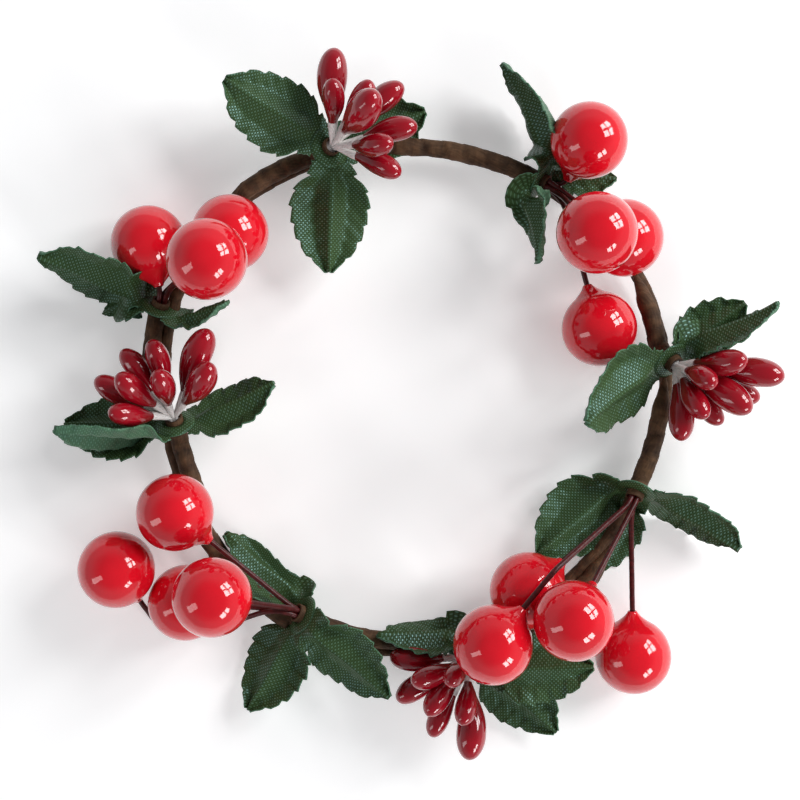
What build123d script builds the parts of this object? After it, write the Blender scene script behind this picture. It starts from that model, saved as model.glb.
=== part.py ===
"""Candle ring: a wreath of taped wire with lacquered berries, dipped pips and fabric leaves.

Millimetres, +Z up. The origin is on the table, at the middle of the opening for the candle.
Angles round the ring are counted from +X towards +Y, and every spray points clockwise.
"""

import os
from math import acos, asin, atan2, cos, degrees, hypot, pi, radians, sin

from build123d import *

# Ring strand: a thin steel wire under paper tape, bent by hand to three soft corners
ring_radius = 40.0
ring_lobe = 1.04
ring_height = 3.6
core_diameter = 0.9
tape_thickness = 0.25
fit_clearance = 0.05
strand_flats = 8
lobe_angle = 20
splice_start_angle = 237
splice_end_angle = 205
core_start_angle = 220
core_landing_angle = 222
core_end_angle = 207
tape_seam_angles = (splice_end_angle, 85, -35, splice_start_angle - 360)

# Taped stem of a spray
stem_bore = 2.16
stem_tape_thickness = 0.3
stem_hold = 18.0
stem_tail_length = 5.0
stem_tail_diameter = 0.8
stem_turn_radius = 4.0
stem_flats = 8

# Berries and their wires
berry_diameter = 12.0
nipple_height = 1.1
nipple_diameter = 1.9
nipple_foot_angle = 68
berry_bore_depth = 3.0
wire_diameter = 0.85
wire_turn_share = 0.28
wire_hold = 4.0
wire_flats = 6

# Dipped pips on paper stems
pip_diameter = 4.2
pip_length = 8.6
pip_base_diameter = 1.4
pip_stem_foot_diameter = 0.6
pip_stem_length = 4.5
pip_knot_length = 2.4
pip_knot_rise = 0.6
pip_flats = 8
paper_flats = 6

# Leaf whorls
leaf_length = 17.5
leaf_width = 12.8
leaf_thickness = 0.3
leaf_fold = 12
leaf_curl_steps = 3
tooth_depth = 0.6
tooth_lean = 0.5
root_width = 4.2
root_bend_radius = 2.2
hub_diameter = 6.4
hub_setback = 1.4

core_radius = core_diameter / 2
core_bore_radius = core_radius + fit_clearance
strand_radius = core_bore_radius + tape_thickness
stem_bore_radius = stem_bore / 2
stem_radius = stem_bore_radius + stem_tape_thickness
berry_radius = berry_diameter / 2
wire_radius = wire_diameter / 2
hub_hole_radius = stem_radius + fit_clearance
splice_shift = core_diameter + 2 * fit_clearance
stem_offset = strand_radius + stem_radius + fit_clearance
corner_reach = ring_lobe / (1 - cos(radians(30)))
corner_radius = ring_radius + ring_lobe - corner_reach
side_radius = ring_radius - ring_lobe + corner_reach
up = Vector(0, 0, 1)

# Half outline of a leaf: share of its length, share of its half width
leaf_edge_shares = [(0.10, 0.74), (0.26, 0.97), (0.42, 1.00), (0.58, 0.93), (0.73, 0.78), (0.87, 0.52)]

# Outline of a pip: share of its length, share of its widest radius above the base
pip_outline_shares = [(0.0, 0.0), (0.32, 0.62), (0.62, 1.0), (0.86, 0.72), (1.0, 0.05)]

# Each spray: angle of its mouth on the ring, side of the strand that its stem lies on (0 outside,
# 90 on top), heading and rise of its neck, and shares of a stem diameter and of the stem's hold
sprays = {
    "upper_left": dict(mouth=169, side=25, heading=66, rise=28, neck_share=0.5, hold_share=0.4),
    "top": dict(mouth=109, side=75, heading=15, rise=62, neck_share=1.0, hold_share=0.75),
    "upper_right": dict(mouth=64, side=90, heading=-30, rise=16, neck_share=0.6, hold_share=1.0),
    "right": dict(mouth=11, side=120, heading=-50, rise=38, neck_share=1.0, hold_share=0.45),
    "lower_right": dict(mouth=-23, side=105, heading=-114, rise=24, neck_share=0.8, hold_share=0.6),
    "bottom": dict(mouth=-67, side=25, heading=212, rise=26, neck_share=1.0, hold_share=0.85),
    "lower_left": dict(mouth=-115, side=140, heading=150, rise=28, neck_share=0.8, hold_share=1.0),
    "left": dict(mouth=-166, side=140, heading=100, rise=38, neck_share=1.0, hold_share=0.35),
}

# Each berry: its middle as shares of the ring's radius, and of its own diameter in height.
# Points between them and the neck are bends of the wire, in the same shares.
berry_places = {
    "upper_left": [
        [(-1.035, 0.595, 0.5)],
        [(-0.752, 0.492, 1.84)],
        [(-0.700, 0.620, 0.92)],
    ],
    "upper_right": [
        [(0.822, 0.600, 0.97)],
        [(0.678, 0.588, 1.88)],
        [(0.745, 0.258, 0.5)],
        [(0.690, 0.982, 0.86)],
    ],
    "lower_right": [
        [(0.600, -0.842, 1.67)],
        [(0.560, -0.640, 1.5), (0.305, -0.940, 1.5)],
        [(0.455, -0.765, 0.80)],
        [(0.878, -1.035, 0.5)],
    ],
    "lower_left": [
        [(-0.850, -0.965, 0.13), (-1.148, -0.685, 0.75)],
        [(-0.745, -0.762, 1.52)],
        [(-0.910, -0.458, 0.97)],
        [(-0.888, -0.825, 0.5)],
    ],
}

# Each leaf: heading and rise of its blade, roll about its midrib, curl along it, share of full size
leaf_places = {
    "upper_left": [(147, 14, -48, 12, 0.95), (205, -30, 0, 12, 0.36), (12, 5, 0, 15, 0.45)],
    "top": [(150, 4, 0, 12, 0.88), (266, -16, 0, 20, 0.84), (22, -14, 0, 20, 0.75)],
    "upper_right": [(112, 2, -82, 12, 0.88), (-80, 35, 65, 12, 0.75), (-8, -11, -25, 12, 0.55)],
    "right": [(14, 28, -66, 20, 0.85), (210, 25, -40, 15, 0.95), (52, -5, 0, 20, 0.6)],
    "lower_right": [(-23, -4, 45, 12, 0.9), (211, 0, 0, 12, 0.85), (246, -10, 0, 10, 0.6)],
    "bottom": [(184, 16, 65, 12, 0.7), (-30, -10, 25, 12, 0.8), (8, 0, 0, 12, 0.9)],
    "lower_left": [(139, 6, 40, 12, 0.78), (252, -12, 25, 12, 0.75), (-40, -6, 30, 12, 0.5)],
    "left": [(180, -12, 25, 12, 0.85), (18, 4, -40, 12, 0.8), (190, 38, 30, 12, 0.8)],
}

# Each pip: its heading and rise, share of full size, share of the paper stem's length
pip_places = {
    "top": [(88, 12, 1.1, 0.9), (55, 34, 0.85, 1.0), (40, 6, 0.95, 1.2), (38, 58, 1.15, 1.2),
            (10, 16, 0.9, 1.2), (-6, 44, 0.85, 1.1), (-26, 18, 0.85, 0.9), (88, 44, 0.8, 0.9)],
    "right": [(-8, 22, 1.05, 1.9), (-22, 3, 0.85, 1.7), (-38, 28, 1.1, 1.1), (10, 46, 0.95, 1.0),
              (-88, 12, 0.95, 1.0), (-66, 36, 0.85, 0.9), (-40, 62, 0.8, 0.9), (12, 5, 0.8, 0.9)],
    "bottom": [(268, 12, 1.1, 1.1), (242, 8, 0.8, 1.4), (176, 12, 0.9, 1.0), (208, 8, 0.9, 1.1),
               (193, 38, 0.85, 0.9), (226, 36, 0.85, 1.0), (258, 42, 0.8, 0.9), (205, 68, 0.75, 0.9)],
    "left": [(152, 12, 0.9, 1.1), (126, 10, 0.85, 1.2), (136, 42, 0.9, 1.0), (103, 20, 0.85, 1.2),
             (66, 12, 1.1, 1.1), (50, 40, 1.0, 1.0), (172, 48, 0.85, 0.9), (98, 54, 0.85, 0.9)],
}


def compass(angle):
    """Level unit vector at an angle from +X."""
    return Vector(cos(radians(angle)), sin(radians(angle)), 0)


def heading(angle, rise):
    """Unit vector at an angle from +X that climbs by a rise in degrees."""
    return compass(angle) * cos(radians(rise)) + up * sin(radians(rise))


def ring_point(angle, out=0, above=0):
    """Point on the strand's centre line, or parallel to it, where its normal has the given angle."""
    from_lobe = (angle - lobe_angle + 30) % 120
    at_corner = from_lobe <= 60
    arc_angle = angle - from_lobe + (30 if at_corner else 90)
    centre = compass(arc_angle) * (corner_reach if at_corner else -corner_reach)
    radius = corner_radius if at_corner else side_radius
    return centre + compass(angle) * (radius + out) + up * (ring_height + above)


def along_ring(angle):
    """Unit vector along the strand, clockwise."""
    return compass(angle - 90)


def ring_plane(angle, out=0, above=0):
    """Plane across the strand: X outward, Y up, Z clockwise along it."""
    return Plane(origin=ring_point(angle, out, above), x_dir=compass(angle), z_dir=along_ring(angle))


def ring_arcs(start, end, out=0, above=0):
    """Tangent arcs along the strand, clockwise from one angle to another, inside a line builder."""
    marks = [start]
    corner = start - (start - lobe_angle - 30) % 60
    while corner > end:
        if corner < start:
            marks.append(corner)
        corner -= 60
    marks.append(end)
    for first, last in zip(marks, marks[1:]):
        ThreePointArc(*[ring_point(angle, out, above) for angle in (first, (first + last) / 2, last)])


def bend(start, way, new_way, radius, offset):
    """Three points of the arc that turns a run to a new way, for a strand at an offset from it."""
    turn = acos(way.dot(new_way))
    axis = way.cross(new_way).normalized()
    inward = axis.cross(way)
    centre = start + inward * radius + axis * offset.dot(axis)
    reach = radius - offset.dot(inward)
    return [centre + (way * sin(angle) - inward * cos(angle)) * reach for angle in (0, turn / 2, turn)]


def aim(start, way, target):
    """Arc that leaves a start along a way and ends pointing at a target: three points and the new way."""
    gap = target - start
    radius = gap.length * wire_turn_share
    ahead = gap.dot(way)
    beside = gap - way * ahead
    inward = beside.normalized()
    short = radius - beside.length
    turn = asin(radius / hypot(ahead, short)) - atan2(short, ahead)
    centre = start + inward * radius
    arc = [centre + (way * sin(angle) - inward * cos(angle)) * radius for angle in (0, turn / 2, turn)]
    return arc, way * cos(turn) + inward * sin(turn)


def axis_plane(origin, way):
    """Plane whose Y runs along a given way, for profiles that are turned about it."""
    level = compass(0) if abs(way.dot(up)) > 0.9 else up
    side = way.cross(level).normalized()
    return Plane(origin=origin, x_dir=side, z_dir=side.cross(way))


def place_point(shares):
    """Point given as shares of the ring's radius across and of a berry's diameter in height."""
    across, along, high = shares
    return Vector(across * ring_radius, along * ring_radius, high * berry_diameter)


def bar(path, plane, radius, flats):
    """Wire or wound tape along a path, inside a part builder."""
    with BuildSketch(plane) as section:
        RegularPolygon(radius, flats)
    sweep(sections=section.sketch, path=path)


def bore(path, plane, radius):
    """Round hole along a path, inside a part builder."""
    with BuildSketch(plane) as section:
        Circle(radius)
    sweep(sections=section.sketch, path=path, mode=Mode.SUBTRACT)


def save(part, name):
    """Labels a finished piece and writes its file."""
    part.label = name
    export_step(part, f"parts/{name}.step")


class Stem:
    """Route of a spray's taped stem: along the strand, a turn, and the straight neck."""

    def __init__(self, place):
        self.mouth = place["mouth"]
        self.out = stem_offset * cos(radians(place["side"]))
        self.above = stem_offset * sin(radians(place["side"]))
        self.way = along_ring(self.mouth)
        self.neck_way = heading(place["heading"], place["rise"])
        self.neck_run = place["neck_share"] * 2 * stem_radius
        self.hold = place["hold_share"] * stem_hold

    def turn_arc(self, out=0, above=0):
        """Arc from the strand to the neck, for a wire that lies off the stem's middle."""
        start = ring_point(self.mouth, self.out, self.above)
        offset = compass(self.mouth) * out + up * above
        return bend(start, self.way, self.neck_way, stem_turn_radius, offset)

    def neck_end(self, out=0, above=0):
        return self.turn_arc(out, above)[2] + self.neck_way * self.neck_run

    def draw(self, hold, out=0, above=0):
        """Draws the route inside a line builder, from a given run on the strand to the neck's end."""
        ring_arcs(self.mouth + degrees(hold / ring_radius), self.mouth, self.out + out, self.above + above)
        ThreePointArc(*self.turn_arc(out, above))
        Line(self.turn_arc(out, above)[2], self.neck_end(out, above))

    def plane_at(self, hold, out=0, above=0):
        """Plane across the stem where it has a given run left on the strand."""
        return ring_plane(self.mouth + degrees(hold / ring_radius), self.out + out, self.above + above)

    def neck_plane(self):
        """Plane across the neck's open end: X to the left, Y upward, Z out of the neck."""
        return Plane(origin=self.neck_end(), x_dir=up.cross(self.neck_way), z_dir=self.neck_way)


def make_core_wire():
    """Ring's steel wire: once round, then on beside its own start inside the splice."""
    with BuildPart() as core:
        with BuildLine() as route:
            ring_arcs(core_start_angle, splice_start_angle - 360)
            lead = ring_point(splice_start_angle)
            landing = ring_point(core_landing_angle, splice_shift)
            pull = (landing - lead).length / 3
            lead_pull = lead + along_ring(splice_start_angle) * pull
            Bezier(lead, lead_pull, landing - along_ring(core_landing_angle) * pull, landing)
            ring_arcs(core_landing_angle, core_end_angle, splice_shift)
        bar(route.wire(), ring_plane(core_start_angle), core_radius, strand_flats)
    save(core.part, "ring_core_wire")


def make_splice_tape():
    """Flat sleeve of tape round both ends of the core wire."""
    plane = ring_plane(splice_start_angle, splice_shift / 2)
    with BuildPart() as tape:
        with BuildLine() as route:
            ring_arcs(splice_start_angle, splice_end_angle, splice_shift / 2)
        with BuildSketch(plane) as outer:
            SlotCenterToCenter(splice_shift, 2 * strand_radius)
        sweep(sections=outer.sketch, path=route.wire())
        with BuildSketch(plane) as inner:
            SlotCenterToCenter(splice_shift, 2 * core_bore_radius)
        sweep(sections=inner.sketch, path=route.wire(), mode=Mode.SUBTRACT)
    save(tape.part, "ring_tape_splice")


def make_ring_tape(name, start, end):
    """One length of the tape that is wound round the core wire."""
    with BuildPart() as tape:
        with BuildLine() as route:
            ring_arcs(start, end)
        bar(route.wire(), ring_plane(start), strand_radius, strand_flats)
        bore(route.wire(), ring_plane(start), core_bore_radius)
    save(tape.part, name)


def make_stem_tape(name, stem):
    """Taped stem of a spray, from its thin tail on the strand to the open end of its neck."""
    tail = stem.plane_at(stem.hold)
    settle = (stem_radius - stem_tail_diameter / 2) / stem_offset
    tip = stem.plane_at(stem.hold + stem_tail_length, -stem.out * settle, -stem.above * settle)
    with BuildPart() as tape:
        with BuildLine() as route:
            stem.draw(stem.hold)
        bar(route.wire(), tail, stem_radius, stem_flats)
        with BuildSketch(tail):
            RegularPolygon(stem_radius, stem_flats)
        with BuildSketch(tip):
            RegularPolygon(stem_tail_diameter / 2, stem_flats)
        loft(ruled=True)
        if name in berry_places:
            with BuildLine() as hollow:
                stem.draw(wire_hold + wire_diameter)
            bore(hollow.wire(), stem.plane_at(wire_hold + wire_diameter), stem_bore_radius)
        else:
            with BuildSketch(stem.neck_plane()):
                RegularPolygon(stem_bore_radius, stem_flats, major_radius=False)
            extrude(amount=-pip_knot_length, mode=Mode.SUBTRACT)
    save(tape.part, f"stem_tape_{name}")


def make_berry(name, middle, nipple_way):
    """Lacquered ball with a pointed nipple, bored for its wire."""
    tip = berry_radius + nipple_height
    foot = (berry_radius * cos(radians(nipple_foot_angle)), berry_radius * sin(radians(nipple_foot_angle)))
    bore_radius = wire_radius + fit_clearance
    with BuildPart() as berry:
        with BuildSketch(axis_plane(middle, nipple_way)):
            with BuildLine():
                ThreePointArc((0, -berry_radius), (berry_radius, 0), foot)
                Polyline(
                    foot,
                    (nipple_diameter / 2, tip),
                    (bore_radius, tip),
                    (bore_radius, tip - berry_bore_depth),
                    (0, tip - berry_bore_depth),
                    (0, -berry_radius),
                )
            make_face()
        revolve(axis=Axis(middle, nipple_way))
    save(berry.part, f"berry_{name}")


def bundle_place(index, count):
    """Where a wire lies in its stem: the wires touch one another round the middle."""
    reach = (wire_radius + fit_clearance / 2) / sin(pi / count)
    turn = 2 * pi * index / count + pi / 4
    return reach * cos(turn), reach * sin(turn)


def make_berry_spray(name, stem):
    """Berries of one spray, each on a wire that runs back into the taped stem."""
    for index, shares in enumerate(berry_places[name]):
        points = [place_point(share) for share in shares]
        out, above = bundle_place(index, len(berry_places[name]))
        here = stem.neck_end(out, above)
        way = stem.neck_way
        with BuildPart() as wire:
            with BuildLine() as route:
                stem.draw(wire_hold, out, above)
                for point in points:
                    arc, way = aim(here, way, point)
                    ThreePointArc(*arc)
                    short = berry_radius + nipple_height - berry_bore_depth + fit_clearance
                    here = point - way * short if point is points[-1] else point
                    Line(arc[2], here)
            bar(route.wire(), stem.plane_at(wire_hold, out, above), wire_radius, wire_flats)
        save(wire.part, f"berry_wire_{name}_{index + 1}")
        make_berry(f"{name}_{index + 1}", points[-1], way * -1)


def make_leaf(hub, angle, rise, roll, curl, size_share):
    """One leaf of a whorl: a root that bends out of the hub, and a serrated blade with a pressed midrib."""
    way = heading(angle, rise)
    slope = asin(way.dot(hub.z_dir))
    outward = (way - hub.z_dir * sin(slope)).normalized()
    swing = root_bend_radius if slope >= 0 else -root_bend_radius
    foot = outward * (hub_diameter / 2 + swing * sin(slope)) + hub.z_dir * (swing * (1 - cos(slope)))
    side = up.cross(way).normalized()
    lean = way.cross(side) * cos(radians(roll)) - side * sin(radians(roll))
    blade = Plane(origin=hub.origin + foot, x_dir=way, z_dir=lean)
    length = leaf_length * size_share
    edge = [(-leaf_thickness, root_width / 2)]
    for along_share, width_share in leaf_edge_shares:
        across = width_share * size_share * leaf_width / 2
        edge.append((along_share * length + tooth_lean, across))
        edge.append((along_share * length, across - tooth_depth))
    far_edge = [(along, -across) for along, across in reversed(edge)]

    with BuildPart() as leaf:
        with BuildSketch(Plane(origin=blade.origin, x_dir=blade.x_dir, z_dir=-blade.y_dir)) as strip:
            with BuildLine():
                base = Line((-leaf_thickness, 0), (0, 0))
                step = length / leaf_curl_steps
                second = PolarLine(base @ 1, step, curl / leaf_curl_steps)
                third = PolarLine(second @ 1, step, 2 * curl / leaf_curl_steps)
                PolarLine(third @ 1, step, curl)
            trace(line_width=leaf_thickness)
        for side in (1, -1):
            spread = blade.y_dir * (side * cos(radians(leaf_fold))) + blade.z_dir * sin(radians(leaf_fold))
            extrude(strip.sketch, amount=leaf_width, dir=spread)
        with BuildSketch(blade) as outline:
            with BuildLine():
                Polyline(*edge, (length, 0), *far_edge, close=True)
            make_face()
        extrude(outline.sketch, amount=leaf_width, both=True, mode=Mode.INTERSECT)
        with BuildSketch(Plane(origin=hub.origin, x_dir=outward, z_dir=outward.cross(hub.z_dir))) as root:
            with BuildLine():
                flat = Line((hub_hole_radius, 0), (hub_diameter / 2, 0))
                JernArc(flat @ 1, (1, 0), root_bend_radius, degrees(slope))
            trace(line_width=leaf_thickness)
        extrude(root.sketch, amount=root_width / 2, both=True)
    return leaf.part


def make_whorl(name, stem):
    """Three-leaf whorl cut from one cloth, threaded on the stem's neck and pushed aside by the strand."""
    hub = stem.neck_plane().offset(-hub_setback)
    leaves = [make_leaf(hub, *place) for place in leaf_places[name]]
    with BuildPart() as whorl:
        with BuildSketch(hub.offset(-leaf_thickness / 2)):
            Circle(hub_diameter / 2)
        extrude(amount=leaf_thickness)
        add(leaves)
        with BuildSketch(hub):
            Circle(hub_hole_radius)
        extrude(amount=leaf_width, both=True, mode=Mode.SUBTRACT)
        clear_start = stem.mouth + degrees(leaf_length / ring_radius)
        clear_end = stem.mouth - degrees(leaf_length / ring_radius)
        with BuildLine() as strand:
            ring_arcs(clear_start, clear_end)
        bore(strand.wire(), ring_plane(clear_start), strand_radius + fit_clearance)
    save(whorl.part, f"leaf_whorl_{name}")


def make_pips(name, stem):
    """Dipped pips of one cluster, and the bound tuft of paper stems that carries them."""
    neck = stem.neck_plane()
    ways = [heading(angle, rise) for angle, rise, size_share, length_share in pip_places[name]]
    foot_radius = pip_stem_foot_diameter / 2
    foot_reach = stem_bore_radius - fit_clearance - foot_radius
    feet = [
        neck.origin + (way - neck.z_dir * way.dot(neck.z_dir)) * foot_reach + neck.z_dir * foot_radius
        for way in ways
    ]
    bases = [
        foot + way * (pip_stem_length * place[3])
        for foot, way, place in zip(feet, ways, pip_places[name])
    ]
    with BuildPart() as tuft:
        with BuildSketch(neck.offset(pip_knot_rise)):
            RegularPolygon(stem_bore_radius - fit_clearance, stem_flats, major_radius=False)
        extrude(amount=-pip_knot_length - pip_knot_rise)
        for foot, base, way in zip(feet, bases, ways):
            with BuildSketch(Plane(origin=foot, z_dir=way)):
                RegularPolygon(foot_radius, paper_flats)
            with BuildSketch(Plane(origin=base, z_dir=way)):
                RegularPolygon(pip_base_diameter / 2, paper_flats)
            loft(ruled=True)
    save(tuft.part, f"pip_stems_{name}")

    with BuildPart() as pips:
        for base, way, place in zip(bases, ways, pip_places[name]):
            swell = (pip_diameter * place[2] - pip_base_diameter) / 2
            for along_share, width_share in pip_outline_shares:
                radius = pip_base_diameter / 2 + swell * width_share
                if along_share == 1:
                    radius = pip_base_diameter / 2
                with BuildSketch(Plane(origin=base + way * (along_share * pip_length * place[2]), z_dir=way)):
                    RegularPolygon(radius, pip_flats)
            loft(ruled=True)
    save(pips.part, f"pips_{name}")


os.makedirs("parts", exist_ok=True)
make_core_wire()
make_splice_tape()
for tape_name, tape_start, tape_end in zip(("upper", "right", "lower"), tape_seam_angles, tape_seam_angles[1:]):
    make_ring_tape(f"ring_tape_{tape_name}", tape_start, tape_end)
for spray, spray_place in sprays.items():
    spray_stem = Stem(spray_place)
    make_stem_tape(spray, spray_stem)
    make_whorl(spray, spray_stem)
    if spray in berry_places:
        make_berry_spray(spray, spray_stem)
    else:
        make_pips(spray, spray_stem)
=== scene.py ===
"""Candle ring: taped wire wreath with lacquered berries, dipped pips and cloth leaves.

Metres, +Z up, origin on the table at the middle of the opening for the candle.
"""

from itertools import accumulate
from math import acos, asin, atan2, ceil, cos, degrees, hypot, pi, radians, sin, tan

import bpy
from bpy.props import FloatProperty, FloatVectorProperty, PointerProperty
from bpy.types import Operator, Panel, PropertyGroup
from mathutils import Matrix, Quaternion, Vector, noise


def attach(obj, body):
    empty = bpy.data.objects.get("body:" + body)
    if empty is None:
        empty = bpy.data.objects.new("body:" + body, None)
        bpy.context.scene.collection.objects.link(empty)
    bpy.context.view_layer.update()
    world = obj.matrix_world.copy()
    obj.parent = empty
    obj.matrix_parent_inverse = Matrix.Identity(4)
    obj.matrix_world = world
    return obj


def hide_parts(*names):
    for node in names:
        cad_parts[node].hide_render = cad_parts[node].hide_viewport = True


bl_info = {
    "name": "Candle Ring",
    "version": (1, 0, 0),
    "blender": (4, 5, 0),
    "location": "View3D > Sidebar > Candle Ring",
    "description": "Builds a candle ring with berries, pips and cloth leaves",
    "category": "Add Mesh",
}

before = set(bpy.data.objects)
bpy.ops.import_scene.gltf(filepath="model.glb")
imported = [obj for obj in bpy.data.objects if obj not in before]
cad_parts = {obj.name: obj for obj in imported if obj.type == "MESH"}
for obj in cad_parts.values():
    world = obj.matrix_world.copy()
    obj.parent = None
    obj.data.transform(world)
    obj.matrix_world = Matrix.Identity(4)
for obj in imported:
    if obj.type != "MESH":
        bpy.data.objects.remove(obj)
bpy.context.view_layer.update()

up = Vector((0, 0, 1))

# Each spray: angle of its mouth on the ring, side of the strand that its stem lies on (0 outside,
# 90 on top), heading and rise of its neck, shares of a stem diameter and of the stem's hold
sprays = {
    "upper_left": dict(mouth=169, side=25, heading=66, rise=28, neck_share=0.5, hold_share=0.4),
    "top": dict(mouth=109, side=75, heading=15, rise=62, neck_share=1.0, hold_share=0.75),
    "upper_right": dict(mouth=64, side=90, heading=-30, rise=16, neck_share=0.6, hold_share=1.0),
    "right": dict(mouth=11, side=120, heading=-50, rise=38, neck_share=1.0, hold_share=0.45),
    "lower_right": dict(mouth=-23, side=105, heading=-114, rise=24, neck_share=0.8, hold_share=0.6),
    "bottom": dict(mouth=-67, side=25, heading=212, rise=26, neck_share=1.0, hold_share=0.85),
    "lower_left": dict(mouth=-115, side=140, heading=150, rise=28, neck_share=0.8, hold_share=1.0),
    "left": dict(mouth=-166, side=140, heading=100, rise=38, neck_share=1.0, hold_share=0.35),
}

# Each berry: its middle, and before it any bends of its wire, as shares of the ring's radius
# across and of a berry's diameter in height
berry_places = {
    "upper_left": [
        [(-1.035, 0.595, 0.5)],
        [(-0.752, 0.492, 1.84)],
        [(-0.700, 0.620, 0.92)],
    ],
    "upper_right": [
        [(0.822, 0.600, 0.97)],
        [(0.678, 0.588, 1.88)],
        [(0.745, 0.258, 0.5)],
        [(0.690, 0.982, 0.86)],
    ],
    "lower_right": [
        [(0.600, -0.842, 1.67)],
        [(0.560, -0.640, 1.5), (0.305, -0.940, 1.5)],
        [(0.455, -0.765, 0.80)],
        [(0.878, -1.035, 0.5)],
    ],
    "lower_left": [
        [(-0.850, -0.965, 0.13), (-1.148, -0.685, 0.75)],
        [(-0.745, -0.762, 1.52)],
        [(-0.910, -0.458, 0.97)],
        [(-0.888, -0.825, 0.5)],
    ],
}

# Each leaf: heading and rise of its blade, roll about its midrib, curl along it, share of full size
leaf_places = {
    "upper_left": [(150, 14, -58, 12, 0.95), (205, -30, 0, 12, 0.36), (8, 22, -60, 15, 0.5)],
    "top": [(150, 4, 12, 12, 0.88), (266, -16, -12, 20, 0.88), (22, -14, 0, 20, 0.75)],
    "upper_right": [(112, 2, -82, 12, 0.88), (-76, 35, 74, 12, 0.75), (-8, -11, -25, 12, 0.55)],
    "right": [(14, 28, -66, 20, 0.85), (210, 25, -40, 15, 0.95), (38, -6, 0, 20, 0.66)],
    "lower_right": [(-25, -4, 66, 12, 0.9), (221, 0, 0, 12, 0.85), (246, -10, 0, 10, 0.7)],
    "bottom": [(184, 16, 65, 12, 0.7), (-38, -10, 25, 12, 0.8), (4, 0, 0, 12, 0.82)],
    "lower_left": [(142, 4, 58, 12, 0.82), (244, -12, 25, 12, 0.82), (-36, -2, 34, 12, 0.84)],
    "left": [(183, -12, 25, 12, 0.85), (20, 4, -48, 12, 0.78), (185, 30, 104, 14, 0.88)],
}

# Each pip: its heading and rise, share of full size, share of the paper stem's length
pip_places = {
    "top": [(88, 12, 1.1, 0.9), (55, 34, 0.85, 1.0), (40, 6, 0.95, 1.2), (38, 58, 1.15, 1.2),
            (10, 16, 0.9, 1.2), (-6, 44, 0.85, 1.1), (-26, 18, 0.85, 0.9), (88, 44, 0.8, 0.9)],
    "right": [(-8, 22, 1.05, 1.6), (-22, 3, 0.85, 1.4), (-36, 28, 1.1, 0.8), (4, 46, 0.95, 0.8),
              (-88, 12, 0.95, 0.6), (-66, 36, 0.85, 0.6), (-40, 62, 0.8, 0.7), (-52, 5, 0.8, 0.9)],
    "bottom": [(268, 12, 1.1, 1.1), (242, 8, 0.8, 1.4), (176, 12, 0.9, 1.0), (208, 8, 0.9, 1.1),
               (193, 38, 0.85, 0.9), (226, 36, 0.85, 1.0), (258, 42, 0.8, 0.9), (205, 68, 0.75, 0.9)],
    "left": [(152, 12, 0.9, 1.1), (126, 10, 0.85, 1.2), (136, 42, 0.9, 1.0), (103, 20, 0.85, 1.2),
             (66, 12, 1.1, 1.1), (50, 40, 1.0, 1.0), (172, 48, 0.85, 0.9), (98, 54, 0.85, 0.9)],
}

# Lengths of tape on the ring: name and the angles where each starts and ends
splice_start_angle = 237
splice_end_angle = 205
tape_seams = [("upper", splice_end_angle, 85), ("right", 85, -35), ("lower", -35, splice_start_angle - 360)]

# Half the angle of each of the six arcs of the ring's outline, and the angle between its points
arc_half = 30
ring_step = 0.6

# Room between pieces, way off a line's middle where noise is read, and where a way counts as steep
clearance = 0.00005
noise_reach = 0.001
steep = 0.9

# Wound tape: margin of angle at a seam and at the splice, spacing of points, slow bends of the strand
seam_margin = 0.8
splice_margin = 1
strand_spacing = 0.00035
strand_bend = 0.00035
strand_bend_grain = 0.011
strand_sides = 28
splice_sides = 32

# Share of a turn where the tape's edge begins to fall, and grain and share of its two kinds of lumps
edge_share = 0.93
large_lumps, small_lumps = (0.0045, 0.09), (0.0014, 0.05)

# Stems: points of the turn and the tail, spacing, sides, how far the tail's end sits off the strand
turn_steps = 14
tail_steps = 12
stem_spacing = 0.0003
stem_sides = 26
tail_settle = 0.0004
tail_end_share = 0.3
stem_pitch_share = 0.8

# Inside of a neck: depth, share of the bore's radius, and the ragged edge's share and grain
neck_rings = [(0.0, 1.0), (0.0008, 1.0), (0.0022, 0.98)]
ragged_share = 0.05
ragged_grain = 0.5

# Berry wires: points of a bend, spacing, sides, and the paper skin's lumps
bend_steps = 16
wire_spacing = 0.0003
wire_sides = 12
skin_lumps = (0.001, 0.08)

# Berries: rings over the whole ball, rings that are used, rings of the nipple, its flare, sides, lumps
ball_rings = 44
ball_rings_used = 38
nipple_rings = 8
nipple_flare = 1.4
berry_sides = 64
berry_lumps = (0.005, 0.004)

# Drip collar: lip beside the nipple's end, dip at the wire, and seat down the wire
lip_share, lip_height = 0.86, 0.0001
dip_share, dip_height = 1.1, 0.00004
seat_share, seat_depth = 0.9, 0.0004

# Half outline of a leaf: share of its length, share of its half width
leaf_edge_shares = [(0.0, 0.60), (0.10, 0.84), (0.22, 0.98), (0.36, 1.0), (0.55, 0.93), (0.73, 0.75),
                    (0.87, 0.48), (1.0, 0.10)]

# Rows of a leaf under the hub, round its root and in each tooth, and its columns on each side
under_rows = 4
under_share = 0.4
root_rows = 5
tooth_rows = (0.10, 0.28, 0.46, 0.64, 0.82, 0.99)
fewest_teeth = 4
side_columns = 12

# Root of a leaf: its narrow rows and their share, and the shares where its twist begins and ends
narrow_rows = 3
narrow_share = 0.9
root_edge_share = 0.02
twist_start_share = 0.3
twist_end_share = 0.22

# Tip of a leaf: where it begins, what its teeth keep there, and the least half width
tip_share = 0.97
tip_tooth_share = 0.3
least_half = 0.0004

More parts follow.
